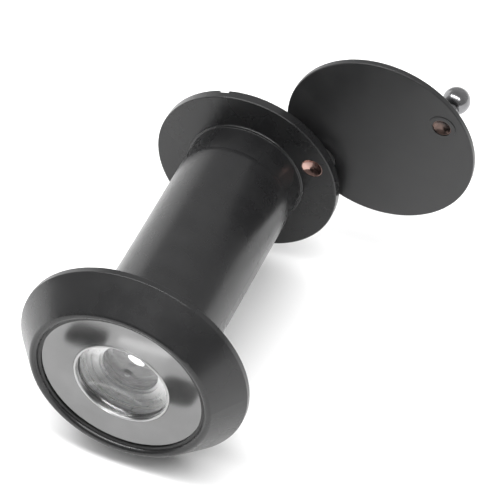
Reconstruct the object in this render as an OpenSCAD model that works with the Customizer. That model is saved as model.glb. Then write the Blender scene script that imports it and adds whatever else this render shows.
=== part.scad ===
// Door viewer with a swinging privacy cover.
// The viewer's axis is Y: the front glass faces -Y (outdoors), the cover is at +Y (the room).
// The origin is the centre of the outer flange's face that lies on the door.

/* [Door] */
// Gap between the two flanges, which is the thinnest door that it fits
door_gap = 32; // [30:0.5:34]

/* [Outer barrel] */
// Diameter of the barrel, which fills the hole in the door
barrel_d = 14; // [14:0.1:15]
// Length of the barrel from the door's outer face to its rear end
barrel_len = 28.2; // [27:0.1:28.4]
// Diameter of the outer flange
flange_d = 27.35; // [26.5:0.05:30]
// Thickness of the outer flange's straight rim
rim_t = 0.85; // [0.6:0.05:1.2]
// Outside diameter of the rounded lip around the glass
lip_d = 22.1; // [21.8:0.1:23]
// How far the lip stands out from the door
lip_height = 4.65; // [4.4:0.05:5]
// Diameter of the recess that holds the polished ring and the front glass
recess_d = 20; // [19.9:0.05:20.1]
// Thickness of the web behind the front glass
web_t = 0.75; // [0.6:0.05:0.8]
// Diameter of the threaded bore
bore_d = 11.8; // [11.7:0.05:11.9]

/* [Front ring and glass] */
// Depth of the polished ring's face below the lip's crest
ring_depth = 0.65; // [0.55:0.05:0.8]
// Thickness of the polished ring
ring_t = 0.6; // [0.5:0.05:0.7]
// Outside diameter of the polished ring
ring_d = 19.8; // [19.6:0.05:19.85]
// Outside diameter of the bright rim that lines the polished ring
rim_d = 11.6; // [11.55:0.05:11.7]
// Thickness of the glass
glass_t = 0.5; // [0.4:0.05:0.55]
// Diameter of the round dish in the glass
dish_d = 10.8; // [10.4:0.1:10.8]
// Depth of the dish
dish_depth = 0.9; // [0.7:0.05:0.9]

/* [Inner sleeve] */
// Diameter of the room-side flange
inner_flange_d = 22.6; // [22:0.1:24]
// Thickness of the room-side flange
inner_flange_t = 1.25; // [1.1:0.05:1.5]
// Diameter of the smooth neck in front of the room-side flange
neck_d = 13.94; // [13.8:0.02:13.96]
// Diameter over the sleeve's thread
thread_d = 11.6; // [11.5:0.05:11.6]
// Pitch of the thread
thread_pitch = 1; // [0.8:0.1:1.2]
// Diameter of the light path through the sleeve
light_d = 9.4; // [9:0.1:9.6]
// Gap between the barrel's inner shoulder and the sleeve's front end
sleeve_gap = 0.4; // [0.3:0.1:0.6]

/* [Cover] */
// Diameter of the cover disc
cover_d = 22.75; // [22:0.05:24]
// Thickness of the cover disc
cover_t = 0.8; // [0.7:0.05:1]
// Gap between the room-side flange and the cover, filled by two washers
cover_gap = 0.95; // [0.8:0.05:1.1]
// Distance from the viewer's axis to the cover's pivot
pivot_r = 8.97; // [8.8:0.01:9.2]
// Direction of the pivot from the viewer's axis, in degrees from +X towards +Z
pivot_angle = 23.5; // [0:0.5:90]
// Direction of the cover's centre from the pivot, in degrees from +X towards +Z
cover_angle = 34.8; // [0:0.1:90]

/* [Knob] */
// Diameter of the ball knob
ball_d = 3.25; // [3:0.05:3.6]
// Height of the ball's centre above the cover
ball_height = 4.05; // [3.6:0.05:4.5]
// Distance from the cover's centre to the knob
knob_r = 8.77; // [8.4:0.01:9]
// Direction of the knob from the cover's centre, in degrees from +X towards +Z
knob_angle = 32.6; // [0:0.1:90]

/* [Rivet] */
// Diameter of the rivet's shank
rivet_d = 1.6; // [1.4:0.05:1.8]
// Diameter of the recess in the flange that shows the rivet's end
rivet_recess_d = 2.6; // [2.4:0.05:2.8]

/* [Hidden] */

$fn = 96;
big = 60;

// radii
barrel_r = barrel_d / 2;
bore_r = bore_d / 2;
flange_r = flange_d / 2;
recess_r = recess_d / 2;
ring_r = ring_d / 2;
rim_outer_r = rim_d / 2;
glass_r = ring_r - 0.05;
stack_r = bore_r - 0.05;
light_r = light_d / 2;
neck_r = neck_d / 2;
thread_r = thread_d / 2;
inner_flange_r = inner_flange_d / 2;
cover_r = cover_d / 2;
rivet_r = rivet_d / 2;
recess_rivet_r = rivet_recess_d / 2;

// rounded edges of flanges, cover and glass
edge = 0.15;

// rounded lip, and the bevel that runs onto it as a tangent
bead_r = (lip_d / 2 - recess_r) / 2;
bead = [recess_r + bead_r, -lip_height + bead_r];
rim_round = [flange_r - edge, edge - rim_t];
bevel_run = bead - rim_round;
bevel_facing = atan2(bevel_run[1], bevel_run[0]) + asin((bead_r - edge) / norm(bevel_run)) + 90;
bevel_end = bead + polar(bead_r, bevel_facing);

// rounded rear end of the barrel, nearly flush with the neck
end_len = 0.5;
end_drop = barrel_r - neck_r;
end_r = cap_sphere(end_len, end_drop);

// the ring, the glass and what is stacked behind them, as places along the axis
ring_face = -lip_height + ring_depth;
rim_bead_r = 0.17;
rim_inner_r = rim_outer_r - 2 * rim_bead_r;
rim_proud = 0.1;
circlip_t = 0.2;
circlip_overlap = 0.25;
play = 0.02;
glass_face = ring_face + ring_t + play;
glass_back = glass_face + glass_t;
dish_r = cap_sphere(dish_d / 2, dish_depth);
dish_centre = glass_face + dish_depth - dish_r;
gasket_t = 0.3;
seat_back = -web_t - gasket_t;
seat_hole_r = stack_r + 0.05;
holder_front = glass_back + 0.1;
holder_back = 2.4;
step_rs = [rim_inner_r, 5.2, 4.6, 3.75];
step_depths = [0.6, 0.85, 1.2, 1.6];
stop_r = 3.45;
stop_t = 0.4;
pocket_r = 4.2;
pocket_y = holder_front + step_depths[len(step_depths) - 1] + stop_t;
dome_r = 3.3;
dome_height = 0.5;
dome_sphere_r = cap_sphere(dome_r + 0.15, dome_height);
hollow_r = 6;
hollow_depth = 0.6;
spacer_front = holder_back + 0.05;
spacer_t = 0.85;
relay_clear = 0.15;
relay_front = spacer_front + spacer_t + relay_clear;
relay_edge_t = 0.7;
relay_bulge = 0.4;
relay_sphere_r = cap_sphere(stack_r, relay_bulge);
shoulder_front = relay_front + relay_edge_t + relay_clear;
shoulder_t = 0.6;

// the sleeve
sleeve_front = shoulder_front + shoulder_t + sleeve_gap;
neck_front = barrel_len + 0.03;
thread_depth = 0.35;
thread_end = neck_front - 1;
thread_count = floor((thread_end - sleeve_front - 1) / thread_pitch);
inner_flange_back = door_gap + inner_flange_t;
neck_fillet = 0.08;
neck_step = 0.28;
neck_step_r = neck_r + neck_fillet + neck_step / 2 + 0.05;
ocular_r = 5.3;
ocular_seat = door_gap - 2.4;
ocular_edge_t = 1.1;
ocular_bulge = 1;
ocular_sphere_r = cap_sphere(ocular_r, ocular_bulge);
ocular_clear = 0.3;
ocular_ring_front = ocular_seat + ocular_edge_t + ocular_clear;
ocular_ring_back = inner_flange_back - 0.25;
slot_w = 1.25;
slot_depth = 0.42;
slot_angles = [106, -24];

// the cover and what it turns on
pivot = polar(pivot_r, pivot_angle);
cover_centre = pivot + polar(pivot_r, cover_angle);
knob_place = cover_centre + polar(knob_r, knob_angle);
cover_front = inner_flange_back + cover_gap;
cover_back = cover_front + cover_t;
plain_t = 0.3;
spring_t = cover_gap - plain_t - 0.02;
washer_r = 2.2;
running_gap = 0.05;
rivet_sink = 0.06;
rivet_end_t = 0.7;
rivet_cup_r = recess_rivet_r - 0.1;
rivet_cup_depth = 0.5;
rivet_washer_t = 0.25;
rivet_head_r = 1.6;
rivet_head_h = 0.6;
neck_knob_r = 0.72;
tail_r = 0.85;
tail_bore_r = 0.6;
tail_bore_depth = 1.4;
knob_hole_r = 1.12;
knob_hole_depth = 0.45;
knob_cup_r = 0.98;
knob_cup_depth = 0.34;
knob_collar_r = 1.25;
knob_collar_h = 0.45;
knob_washer_r = 1.62;
knob_washer_t = 0.08;

// The point at a distance and a direction.
function polar(r, angle) = r * [cos(angle), sin(angle)];

// Points along an arc of a profile, from one direction to another.
function arc(centre, r, from, to, steps = 5) =
    [for (i = [0 : steps]) centre + polar(r, from + (to - from) * i / steps)];

// Radius of the sphere that cuts a round cap of this radius and height.
function cap_sphere(r, height) = (pow(r, 2) + pow(height, 2)) / (2 * height);

// Turns a profile of [radius, place along the axis] points about the viewer's axis.
module turned(profile) {
    rotate([-90, 0, 0]) rotate_extrude() polygon(profile);
}

// Puts things at a place in the X-Z plane.
module at(place) {
    translate([place[0], 0, place[1]]) children();
}

// Cylinder along the viewer's axis from one place to another.
module rod(r, y0, y1) {
    translate([0, y0, 0]) rotate([-90, 0, 0]) cylinder(r = r, h = y1 - y0);
}

// Flat ring along the viewer's axis.
module ring(outer, inner, y0, y1) {
    difference() {
        rod(outer, y0, y1);
        rod(inner, y0 - 1, y1 + 1);
    }
}

// Disc with both edges rounded.
module disc(r, y0, y1) {
    turned(concat([[0, y0]], arc([r - edge, y0 + edge], edge, -90, 0),
        arc([r - edge, y1 - edge], edge, 0, 90), [[0, y1]]));
}

// Round cup sunk into a face at y0.
module cup(r, depth, y0) {
    ball_r = cap_sphere(r, depth);
    half_angle = asin(r / ball_r);
    turned(concat([[0, y0 - 1], [r, y0 - 1]],
        arc([0, y0 + depth - ball_r], ball_r, 90 - half_angle, 90, 8)));
}

// Barrel and outer flange in one piece, with the shoulder that the lens stack rests on.
module outer_barrel() {
    end_y = barrel_len - end_len;
    color([0.16, 0.16, 0.17]) {
        difference() {
            union() {
                turned(concat([[bore_r - 0.5, -web_t], [bead[0], -web_t], bead, bevel_end],
                    arc(rim_round, edge, bevel_facing, 0),
                    arc([flange_r - edge, -edge], edge, 0, 90),
                    [[barrel_r, 0], [barrel_r, end_y], [bore_r - 0.5, end_y]]));
                rotate([-90, 0, 0]) rotate_extrude() {
                    translate(bead) circle(r = bead_r, $fn = 64);
                    intersection() {
                        translate([0, end_y - 0.01]) square([barrel_r, end_len + 0.01]);
                        translate([barrel_r - end_r, end_y]) circle(r = end_r, $fn = 64);
                    }
                }
            }
            rod(recess_r, -lip_height - 1, -web_t);
            rod(bore_r, -web_t - 1, barrel_len + 1);
        }
        ring(bore_r + 0.3, light_r, shoulder_front, shoulder_front + shoulder_t);
    }
}

// Black ring that holds the bright ring and the glass down in their recess.
module lens_ring() {
    color([0.07, 0.07, 0.07])
        ring(recess_r, ring_r - circlip_overlap, ring_face - circlip_t, ring_face - play);
}

// Polished flat ring round the middle of the glass.
module front_ring() {
    color([0.75, 0.75, 0.76]) ring(ring_r, rim_outer_r, ring_face, ring_face + ring_t);
}

// Bright rim that lines the polished ring and stands proud of it as a bead.
module rim_ring() {
    middle = [rim_outer_r - rim_bead_r, ring_face - rim_proud + rim_bead_r];
    color([0.85, 0.85, 0.86]) turned(concat(arc(middle, rim_bead_r, 180, 360, 12),
        [[rim_outer_r, ring_face + ring_t], [rim_inner_r, ring_face + ring_t]]));
}

// Front glass of even thickness, with a round dish in the middle.
module front_lens() {
    color([0.8, 0.85, 0.88, 0.5]) rotate([-90, 0, 0]) rotate_extrude() difference() {
        union() {
            translate([0, glass_face]) square([glass_r, glass_t]);
            intersection() {
                translate([0, glass_face]) square([glass_r, dish_depth + glass_t]);
                translate([0, dish_centre]) circle(r = dish_r + glass_t, $fn = 360);
            }
        }
        translate([0, dish_centre]) circle(r = dish_r, $fn = 360);
    }
}

// Plain ring that the glass rests on.
module seat_ring() {
    color([0.3, 0.3, 0.3]) ring(glass_r, seat_hole_r, glass_back + play, seat_back);
}

// Soft ring between the seat ring and the web.
module gasket() {
    color([0.08, 0.08, 0.08]) ring(glass_r, seat_hole_r + 0.2, seat_back, -web_t);
}

// Stepped holder behind the glass, with a stop in front and a pocket behind for the second lens.
module lens_holder() {
    color("silver") difference() {
        rod(stack_r, holder_front, holder_back);
        for (i = [0 : len(step_rs) - 1])
            rod(step_rs[i], holder_front - 1, holder_front + step_depths[i]);
        rod(stop_r, holder_front - 1, pocket_y + 1);
        rod(pocket_r, pocket_y, holder_back + 1);
    }
}

// Small lens whose domed face stands in the holder's stop, with a hollow back.
module second_lens() {
    shoulder_y = pocket_y + play;
    dome_top = pocket_y - dome_height;
    color([0.8, 0.85, 0.88, 0.5]) rotate([-90, 0, 0]) rotate_extrude() difference() {
        union() {
            translate([0, shoulder_y]) square([pocket_r - 0.05, holder_back - shoulder_y]);
            intersection() {
                translate([0, dome_top]) square([dome_r, dome_height + 0.1]);
                translate([0, dome_top + dome_sphere_r]) circle(r = dome_sphere_r, $fn = 360);
            }
        }
        translate([0, holder_back - hollow_depth + hollow_r]) circle(r = hollow_r, $fn = 180);
    }
}

module spacer_ring() {
    color([0.1, 0.1, 0.1]) ring(stack_r, light_r, spacer_front, spacer_front + spacer_t);
}

// Lens with two bulging faces, against the barrel's shoulder.
module relay_lens() {
    middle = relay_front + relay_edge_t / 2;
    ball_offset = relay_sphere_r - relay_bulge - relay_edge_t / 2;
    color([0.8, 0.85, 0.88, 0.5]) rotate([-90, 0, 0]) rotate_extrude() intersection() {
        translate([0, middle - 2]) square([stack_r, 4]);
        translate([0, middle + ball_offset]) circle(r = relay_sphere_r, $fn = 720);
        translate([0, middle - ball_offset]) circle(r = relay_sphere_r, $fn = 720);
    }
}

// Lens at the eye end, with its bulging face to the room.
module ocular_lens() {
    top = ocular_seat + ocular_edge_t + ocular_bulge;
    color([0.8, 0.85, 0.88, 0.5]) rotate([-90, 0, 0]) rotate_extrude() intersection() {
        translate([0, ocular_seat + 0.03]) square([ocular_r, 4]);
        translate([0, top - ocular_sphere_r]) circle(r = ocular_sphere_r, $fn = 360);
    }
}

// Ring with two spanner slots that holds the eye lens.
module ocular_ring() {
    color([0.14, 0.14, 0.15]) difference() {
        ring(ocular_r + 0.02, light_r - 0.2, ocular_ring_front, ocular_ring_back);
        translate([-big / 2, ocular_ring_back - 0.5, -0.5]) cube([big, 1, 1]);
    }
}

// Room-side flange, neck and screwed sleeve in one piece.
module inner_sleeve() {
    color([0.16, 0.16, 0.17]) difference() {
        turned(concat([[0, sleeve_front], [thread_r - 0.3, sleeve_front], [thread_r, sleeve_front + 0.3],
            [thread_r, neck_front], [neck_r, neck_front]],
            arc([neck_r + neck_fillet, door_gap - neck_step - neck_fillet], neck_fillet, 180, 90, 8),
            arc([neck_step_r - neck_step / 2, door_gap - neck_step / 2], neck_step / 2, -90, 0, 4),
            [[neck_step_r, door_gap]],
            arc([inner_flange_r - edge, door_gap + edge], edge, -90, 0),
            arc([inner_flange_r - edge, inner_flange_back - edge], edge, 0, 90),
            [[0, inner_flange_back]]));
        rod(light_r, sleeve_front - 1, inner_flange_back + 1);
        rod(ocular_r + 0.05, ocular_seat, inner_flange_back + 1);
        for (i = [1 : thread_count]) {
            y = sleeve_front + i * thread_pitch;
            turned([[thread_r - thread_depth, y], [thread_r + 1, y - 0.5 * thread_pitch - 0.01],
                [thread_r + 1, y + 0.5 * thread_pitch + 0.01]]);
        }
        for (angle = slot_angles)
            rotate([0, -angle, 0])
                translate([-big / 2, inner_flange_back - slot_depth, -slot_w / 2]) cube([big, 1, slot_w]);
        at(pivot) {
            rod(rivet_r, door_gap - 1, inner_flange_back + 1);
            rod(recess_rivet_r, door_gap - 1, door_gap + rivet_sink + rivet_end_t);
        }
    }
}

// Rivet with a cupped end sunk in the flange and a domed head on the room side of the cover.
module pivot_rivet() {
    end_y = door_gap + rivet_sink;
    head_y = cover_back + running_gap + rivet_washer_t;
    head_sphere_r = cap_sphere(rivet_head_r, rivet_head_h);
    color([0.62, 0.42, 0.34]) at(pivot) {
        difference() {
            union() {
                rod(recess_rivet_r, end_y, end_y + rivet_end_t);
                rod(rivet_r, end_y, head_y + 0.1);
            }
            cup(rivet_cup_r, rivet_cup_depth, end_y);
        }
        intersection() {
            rod(rivet_head_r, head_y, head_y + rivet_head_h);
            translate([0, head_y + rivet_head_h - head_sphere_r, 0]) sphere(r = head_sphere_r);
        }
    }
}

module plain_washer() {
    color("silver") at(pivot)
        ring(washer_r, rivet_r + running_gap, inner_flange_back, inner_flange_back + plain_t);
}

// Dished spring washer that keeps the cover stiff to turn.
module spring_washer() {
    y0 = inner_flange_back + plain_t;
    y1 = y0 + spring_t;
    leaf = 0.25;
    color("silver") at(pivot)
        turned([[rivet_r + running_gap, y1 - leaf], [washer_r - 0.1, y0], [washer_r, y0],
            [washer_r, y0 + leaf], [rivet_r + 0.3, y1], [rivet_r + running_gap, y1]]);
}

// Cover disc with a hole for the pivot rivet and a stepped one for the knob's tail and rivet.
module cover() {
    color([0.2, 0.2, 0.21]) difference() {
        at(cover_centre) disc(cover_r, cover_front, cover_back);
        at(pivot) rod(rivet_r + running_gap, cover_front - 1, cover_back + 1);
        at(knob_place) {
            rod(tail_r, cover_front - 1, cover_back + 1);
            rod(knob_hole_r, cover_front - 1, cover_front + knob_hole_depth);
        }
    }
}

module rivet_washer() {
    y0 = cover_back + running_gap;
    color("silver") at(pivot) ring(rivet_head_r + 0.15, rivet_r, y0, y0 + rivet_washer_t);
}

// Ball knob turned in one piece with its neck, collar and tail, which is bored for the rivet.
module knob() {
    ball_y = cover_back + ball_height;
    tail_y = cover_front + knob_hole_depth;
    collar_y = cover_back + knob_collar_h;
    color([0.55, 0.55, 0.56]) at(knob_place) difference() {
        union() {
            translate([0, ball_y, 0]) sphere(d = ball_d);
            turned([[0, tail_y], [tail_r, tail_y], [tail_r, cover_back], [knob_collar_r, cover_back],
                [knob_collar_r, collar_y - 0.15], [neck_knob_r + 0.2, collar_y],
                [neck_knob_r, collar_y + 0.3], [neck_knob_r, ball_y], [0, ball_y]]);
        }
        rod(tail_bore_r, tail_y - 1, tail_y + tail_bore_depth);
    }
}

// Rivet in the knob's tail, with a cupped head in the cover's front.
module knob_rivet() {
    head_y = cover_front + 0.04;
    color([0.5, 0.36, 0.3]) at(knob_place) difference() {
        union() {
            rod(knob_hole_r, head_y, cover_front + knob_hole_depth);
            rod(tail_bore_r, head_y, cover_front + knob_hole_depth + tail_bore_depth);
        }
        cup(knob_cup_r, knob_cup_depth, head_y);
    }
}

module knob_washer() {
    color([0.15, 0.15, 0.15]) at(knob_place)
        ring(knob_washer_r, knob_hole_r, cover_front - knob_washer_t, cover_front);
}

outer_barrel();
lens_ring();
front_ring();
rim_ring();
front_lens();
seat_ring();
gasket();
lens_holder();
second_lens();
spacer_ring();
relay_lens();
ocular_lens();
ocular_ring();
inner_sleeve();
pivot_rivet();
plain_washer();
spring_washer();
cover();
rivet_washer();
knob();
knob_rivet();
knob_washer();
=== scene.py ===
"""Finished look of a door viewer with a swinging privacy cover.

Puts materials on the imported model, and a floor, lights and a camera round it.
"""

import math

import bpy
from mathutils import Matrix, Vector


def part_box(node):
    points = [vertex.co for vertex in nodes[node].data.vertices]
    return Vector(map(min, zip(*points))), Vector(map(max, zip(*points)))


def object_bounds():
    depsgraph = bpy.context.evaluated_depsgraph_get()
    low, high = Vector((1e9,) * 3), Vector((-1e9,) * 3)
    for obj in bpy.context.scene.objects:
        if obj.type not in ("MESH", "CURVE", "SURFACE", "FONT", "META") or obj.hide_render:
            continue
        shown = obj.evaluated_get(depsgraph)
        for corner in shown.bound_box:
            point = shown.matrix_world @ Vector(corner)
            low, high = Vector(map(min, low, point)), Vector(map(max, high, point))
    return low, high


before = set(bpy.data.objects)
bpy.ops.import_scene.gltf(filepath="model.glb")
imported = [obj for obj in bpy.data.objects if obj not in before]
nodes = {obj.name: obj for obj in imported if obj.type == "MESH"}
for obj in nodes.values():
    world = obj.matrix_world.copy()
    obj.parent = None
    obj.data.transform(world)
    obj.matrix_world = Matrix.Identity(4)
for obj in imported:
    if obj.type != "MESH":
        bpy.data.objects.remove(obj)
size_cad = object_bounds()
low, high = size_cad
centre = (low + high) / 2
MM = 0.001


# ---------------------------------------------------------------- materials

# The middle range of a noise, which a material's two ends are mapped to
NOISE_LOW = 0.3
NOISE_HIGH = 0.7
# Stretch of a noise that looks the same in every direction
EVEN = (1, 1, 1)


class Paint:
    """A node material in the making: its material, nodes, links and Principled shader."""

    def __init__(self, name):
        self.material = bpy.data.materials.new(name)
        self.material.use_nodes = True
        self.nodes = self.material.node_tree.nodes
        self.links = self.material.node_tree.links
        self.shader = self.nodes["Principled BSDF"]

    def fix(self, socket, value):
        """Sets one of the shader's sockets to a constant."""
        self.shader.inputs[socket].default_value = value

    def drive(self, socket, output):
        """Feeds one of the shader's sockets from another node."""
        self.links.new(output, self.shader.inputs[socket])

    def noise(self, scale, detail, stretch=EVEN):
        """Noise in the object's own coordinates. Scale is in features per millimetre."""
        place = self.nodes.new("ShaderNodeTexCoord")
        mapping = self.nodes.new("ShaderNodeMapping")
        mapping.inputs["Scale"].default_value = [s / MM for s in stretch]
        texture = self.nodes.new("ShaderNodeTexNoise")
        texture.inputs["Scale"].default_value = scale
        texture.inputs["Detail"].default_value = detail
        self.links.new(place.outputs["Object"], mapping.inputs["Vector"])
        self.links.new(mapping.outputs["Vector"], texture.inputs["Vector"])
        return texture

    def spread(self, texture, low_value, high_value):
        """Maps a texture's middle range to two values."""
        remap = self.nodes.new("ShaderNodeMapRange")
        remap.inputs["From Min"].default_value = NOISE_LOW
        remap.inputs["From Max"].default_value = NOISE_HIGH
        remap.inputs["To Min"].default_value = low_value
        remap.inputs["To Max"].default_value = high_value
        self.links.new(texture.outputs["Fac"], remap.inputs["Value"])
        return remap.outputs["Result"]

    def ramp(self, texture, dark, light):
        """Maps a texture's middle range to a colour between two."""
        colours = self.nodes.new("ShaderNodeValToRGB")
        first, last = colours.color_ramp.elements
        first.position, last.position = NOISE_LOW, NOISE_HIGH
        first.color, last.color = (*dark, 1), (*light, 1)
        self.links.new(texture.outputs["Fac"], colours.inputs["Fac"])
        return colours.outputs["Color"]

    def facing(self, axis):
        """How squarely the surface faces along an axis of the object, from 0 to 1."""
        place = self.nodes.new("ShaderNodeTexCoord")
        parts = self.nodes.new("ShaderNodeSeparateXYZ")
        size = self.nodes.new("ShaderNodeMath")
        size.operation = "ABSOLUTE"
        self.links.new(place.outputs["Normal"], parts.inputs["Vector"])
        self.links.new(parts.outputs[axis], size.inputs[0])
        return size.outputs["Value"]

    def mix(self, amount, first, second):
        """A colour between two, by an amount."""
        shades = self.nodes.new("ShaderNodeMixRGB")
        self.links.new(amount, shades.inputs["Fac"])
        self.links.new(first, shades.inputs["Color1"])
        self.links.new(second, shades.inputs["Color2"])
        return shades.outputs["Color"]

    def bump(self, texture, depth_mm, strength):
        """Raises the surface by a texture."""
        relief = self.nodes.new("ShaderNodeBump")
        relief.inputs["Strength"].default_value = strength
        relief.inputs["Distance"].default_value = depth_mm * MM
        self.links.new(texture.outputs["Fac"], relief.inputs["Height"])
        self.drive("Normal", relief.outputs["Normal"])


def grey(value, blue=0.0):
    """A neutral colour, or one with a little more blue."""
    return value, value, value + blue


def coated_metal(name, dark, light, rough):
    """Satin black coating on metal: a fine orange-peel relief and a slightly cloudy gloss."""
    paint = Paint(name)
    cloud = paint.noise(0.25, detail=3)
    paint.drive("Base Color", paint.ramp(cloud, dark, light))
    paint.drive("Roughness", paint.spread(cloud, rough - 0.04, rough + 0.05))
    paint.bump(paint.noise(1.6, detail=3), depth_mm=0.004, strength=0.25)
    return paint.material


def bare_metal(name, dark, light, rough, stretch=(0.2, 4.0, 0.2), depth_mm=0.002):
    """Bare metal with fine tool marks, which run round the axis when close together along it."""
    paint = Paint(name)
    paint.fix("Metallic", 1.0)
    marks = paint.noise(1.0, detail=4, stretch=stretch)
    paint.drive("Base Color", paint.ramp(marks, dark, light))
    paint.drive("Roughness", paint.spread(marks, rough * 0.8, rough * 1.25))
    paint.bump(marks, depth_mm, strength=0.2)
    return paint.material


def stepped_metal_painted_light(name, shaded_wall, lit_ledge, rough):
    """Turned metal whose ledges, facing along the axis, get painted highlight and whose walls get
    painted shade.
    """
    paint = Paint(name)
    paint.fix("Metallic", 1.0)
    marks = paint.noise(1.0, detail=4, stretch=(3.0, 0.3, 3.0))
    # Painted light: brighter colour where the metal faces along the axis, darker colour on the walls
    shade = paint.mix(paint.facing("Y"), paint.ramp(marks, *shaded_wall), paint.ramp(marks, *lit_ledge))
    paint.drive("Base Color", shade)
    paint.drive("Roughness", paint.spread(marks, rough * 0.9, rough * 1.1))
    paint.bump(marks, depth_mm=0.0004, strength=0.2)
    return paint.material


def lens_glass(name):
    """Clear polished glass with the faintest dust on it."""
    paint = Paint(name)
    paint.fix("Base Color", (*grey(0.985), 1))
    paint.fix("Transmission Weight", 1.0)
    paint.fix("IOR", 1.5)
    paint.drive("Roughness", paint.spread(paint.noise(2.0, detail=3), 0.0, 0.03))
    return paint.material


def rubber(name):
    """Matt black rubber."""
    paint = Paint(name)
    grain = paint.noise(3.0, detail=3)
    paint.drive("Base Color", paint.ramp(grain, grey(0.012), grey(0.03)))
    paint.fix("Roughness", 0.7)
    paint.bump(grain, depth_mm=0.01, strength=0.4)
    return paint.material


def floor_paper(name):
    """Pale matt paper."""
    paint = Paint(name)
    paint.fix("Roughness", 0.9)
    paint.fix("Specular IOR Level", 0.1)
    paint.drive("Base Color", paint.ramp(paint.noise(0.05, detail=2), grey(0.9), grey(0.93)))
    return paint.material


def card_paper(name, shade, glow):
    """Matt card that may also glow white."""
    paint = Paint(name)
    paint.fix("Base Color", (*grey(shade), 1))
    paint.fix("Emission Color", (1, 1, 1, 1))
    paint.fix("Emission Strength", glow)
    paint.fix("Roughness", 1.0)
    paint.fix("Specular IOR Level", 0.0)
    return paint.material


black = coated_metal("black_coating", grey(0.010, 0.0005), grey(0.014, 0.0005), rough=0.27)
cover_black = coated_metal("cover_coating", grey(0.012, 0.0005), grey(0.017, 0.0005), rough=0.33)
ring_black = coated_metal("ring_coating", grey(0.006), grey(0.01), rough=0.45)
aluminium = bare_metal("turned_aluminium", grey(0.5, 0.01), grey(0.6, 0.01), rough=0.22)
ring_metal = bare_metal("ring_metal", grey(0.18), grey(0.22), rough=0.1, depth_mm=0.0002)
rim_metal = bare_metal("rim_metal", grey(0.36), grey(0.44), rough=0.3)
# The holder's bright ledges and dull walls are painted highlight and painted shade on one metal
holder_metal_painted_light = stepped_metal_painted_light(
    "holder_metal_painted_light", shaded_wall=(grey(0.2), grey(0.25)), lit_ledge=(grey(0.6), grey(0.66)), rough=0.3)
copper = bare_metal(
    "copper_rivet", (0.34, 0.21, 0.185), (0.5, 0.33, 0.29), rough=0.12, stretch=EVEN)
dark_copper = bare_metal(
    "dark_copper", (0.05, 0.042, 0.04), (0.16, 0.11, 0.095), rough=0.24, stretch=EVEN)
knob_metal = bare_metal(
    "polished_nickel", grey(0.2, 0.005), grey(0.27, 0.005), rough=0.2, stretch=EVEN, depth_mm=0.0005)
plain_steel = bare_metal("plain_steel", grey(0.3), grey(0.42), rough=0.3, stretch=EVEN)
glass = lens_glass("lens_glass")
gasket_rubber = rubber("gasket_rubber")

LOOKS = {
    "outer_barrel": black,
    "inner_sleeve": black,
    "cover": cover_black,
    "lens_ring": ring_black,
    "spacer_ring": ring_black,
    "ocular_ring": ring_black,
    "gasket": gasket_rubber,
    "front_ring": ring_metal,
    "rim_ring": rim_metal,
    "seat_ring": aluminium,
    "lens_holder": holder_metal_painted_light,
    "front_lens": glass,
    "second_lens": glass,
    "relay_lens": glass,
    "ocular_lens": glass,
    "pivot_rivet": copper,
    "plain_washer": plain_steel,
    "spring_washer": plain_steel,
    "rivet_washer": plain_steel,
    "knob_washer": cover_black,
    "knob_rivet": dark_copper,
    "knob": knob_metal,
}


def dress(node, material):
    """Gives a CAD node its finished material."""
    node.data.materials.clear()
    node.data.materials.append(material)


for name, material in LOOKS.items():
    dress(nodes[name], material)


# ---------------------------------------------------------------- floor and studio cards

# Azimuth and elevation of the camera in degrees
VIEW = (22.33, 45.8)
# Half the floor's side in metres
FLOOR_HALF = 2.0
# Height of the studio cards above the floor in mm
CARD_LIFT = 0.1
# Power that turns a circle's cosine and sine into those of a rounded square
CORNER_POWER = 0.6
# The dish in the front glass, in mm
DISH_HALF = 5.4
DISH_DEPTH = 0.9
DISH_RADIUS = (DISH_HALF ** 2 + DISH_DEPTH ** 2) / (2 * DISH_DEPTH)


def view_direction(azimuth, elevation):
    """The direction from the viewer to the camera."""
    a, e = math.radians(azimuth), math.radians(elevation)
    return Vector((math.sin(a) * math.cos(e), -math.cos(a) * math.cos(e), math.sin(e)))


def one_turn(steps):
    """Cosine and sine of equal steps of one turn."""
    angles = [math.tau * i / steps for i in range(steps)]
    return [(math.cos(angle), math.sin(angle)) for angle in angles]


def rounded(value):
    """Pushes a cosine or sine outwards, so that a circle becomes a rounded square."""
    return math.copysign(abs(value) ** CORNER_POWER, value)


def flat_sheet(name, outline, material):
    """A flat object with one face."""
    mesh = bpy.data.meshes.new(name)
    mesh.from_pydata(outline, [], [tuple(range(len(outline)))])
    mesh.materials.append(material)
    sheet = bpy.data.objects.new(name, mesh)
    bpy.context.scene.collection.objects.link(sheet)
    return sheet


def make_floor():
    """A wide pale floor under the lowest point of the viewer."""
    corners = [(-1, -1), (1, -1), (1, 1), (-1, 1)]
    outline = [(x * FLOOR_HALF, y * FLOOR_HALF, low.z) for x, y in corners]
    floor = flat_sheet("floor", outline, floor_paper("floor_paper"))


def make_card(name, across, ahead, width, depth, shade, glow=0.0):
    """A small studio card on the floor before the glass, seen only as a reflection. Sizes in mm."""
    glass_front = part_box("front_ring")[0].y
    level = low.z + CARD_LIFT * MM
    outline = []
    for c, s in one_turn(steps=32):
        x = (across + width / 2 * rounded(c)) * MM
        y = glass_front + (-ahead + depth / 2 * rounded(s)) * MM
        outline.append((x, y, level))
    card = flat_sheet(name, outline, card_paper(name + "_paper", shade, glow))
    card.visible_camera = False
    card.visible_diffuse = False
    card.visible_shadow = False


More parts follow.
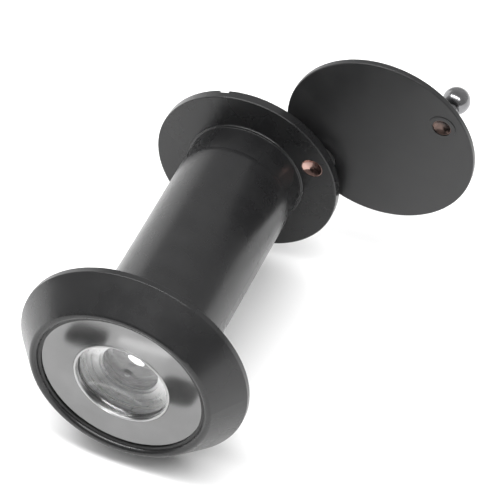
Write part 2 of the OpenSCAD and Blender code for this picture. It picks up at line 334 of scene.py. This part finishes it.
def make_glint(across, up, distance, width, height, glow):
    """A tiny bright card that one spot of the dish mirrors to the camera. Sizes in mm."""
    glass_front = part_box("front_lens")[0].y
    depth = DISH_DEPTH - (across ** 2 + up ** 2) / (2 * DISH_RADIUS)
    spot = Vector((across * MM, glass_front + depth * MM, up * MM))
    normal = Vector((-across / DISH_RADIUS, -1, -up / DISH_RADIUS)).normalized()
    back = view_direction(*VIEW)
    ray = 2 * normal.dot(back) * normal - back
    side = ray.cross(Vector((0, 0, 1))).normalized() * width / 2
    rise = side.cross(ray).normalized() * height / 2
    middle = spot + ray * distance * MM
    outline = [middle + (side * c + rise * s) * MM for c, s in one_turn(steps=24)]
    card = flat_sheet("glint_card", outline, card_paper("glint_paper", 0.0, glow))
    card.visible_camera = False
    card.visible_diffuse = False
    card.visible_transmission = False
    card.visible_shadow = False


# ---------------------------------------------------------------- light and camera

def soft_light(name, direction, distance, width, height, watts):
    """A soft box that faces the viewer's centre from a direction. Sizes in metres."""
    light = bpy.data.lights.new(name, "AREA")
    light.shape = "RECTANGLE"
    light.size = width
    light.size_y = height
    light.energy = watts
    box = bpy.data.objects.new(name, light)
    aim = Vector(direction).normalized()
    box.location = centre + aim * distance
    box.rotation_euler = aim.to_track_quat("Z", "Y").to_euler()
    bpy.context.scene.collection.objects.link(box)
    return box


def make_world(front, back):
    """White surroundings, dimmer in front of the viewer than behind it."""
    world = bpy.data.worlds.new("studio")
    world.use_nodes = True
    tree = world.node_tree
    place = tree.nodes.new("ShaderNodeTexCoord")
    parts = tree.nodes.new("ShaderNodeSeparateXYZ")
    remap = tree.nodes.new("ShaderNodeMapRange")
    remap.inputs["From Min"].default_value = -1
    remap.inputs["From Max"].default_value = 1
    remap.inputs["To Min"].default_value = front
    remap.inputs["To Max"].default_value = back
    background = tree.nodes["Background"]
    background.inputs["Color"].default_value = (1, 1, 1, 1)
    tree.links.new(place.outputs["Generated"], parts.inputs["Vector"])
    tree.links.new(parts.outputs["Y"], remap.inputs["Value"])
    tree.links.new(remap.outputs["Result"], background.inputs["Strength"])
    bpy.context.scene.world = world


def make_camera(azimuth, elevation, distance, focal, nudge):
    """Long lens from the front right and above, aimed a nudge off the viewer's centre.

    The distance is in metres, and the focal length and the nudge are in mm.
    """
    back = view_direction(azimuth, elevation)
    turn = math.radians(azimuth)
    right = Vector((math.cos(turn), math.sin(turn), 0))
    up = back.cross(right)
    data = bpy.data.cameras.new("camera")
    data.lens = focal
    data.sensor_width = 36
    data.clip_start = 0.01
    data.clip_end = 20
    camera = bpy.data.objects.new("camera", data)
    facing = Matrix((right, up, back)).transposed().to_4x4()
    spot = centre + Vector(nudge) * MM + back * distance
    camera.matrix_world = Matrix.Translation(spot) @ facing
    bpy.context.scene.collection.objects.link(camera)
    bpy.context.scene.camera = camera


make_floor()
make_card("dark_card_left", across=-12.1, ahead=16.3, width=5.0, depth=3.8, shade=0.1)
make_card("dark_card_right", across=1.2, ahead=12.3, width=5.0, depth=4.0, shade=0.14)
make_card("light_card", across=-5.0, ahead=17.2, width=7.0, depth=1.2, shade=0.9, glow=1.6)
make_glint(across=1.4, up=4.1, distance=11, width=1.1, height=1.05, glow=12)
make_world(front=0.2, back=0.72)
soft_light("strip", (-0.05, -0.25, 1), distance=0.3, width=0.5, height=0.06, watts=1.3)
soft_light("left_box", (-1, 0.4, 0.3), distance=0.4, width=0.3, height=0.25, watts=0.3)
# The fill lightens the shadows, and no mirror or glass shows it
fill = soft_light("fill", (0, 0, 1), distance=0.6, width=1.2, height=1.2, watts=4.5)
fill.visible_glossy = False
fill.visible_transmission = False
make_camera(*VIEW, distance=0.35, focal=222.8, nudge=(-0.29, -0.24, -0.35))

scene = bpy.context.scene
scene.view_settings.view_transform = "Standard"
scene.view_settings.look = "None"
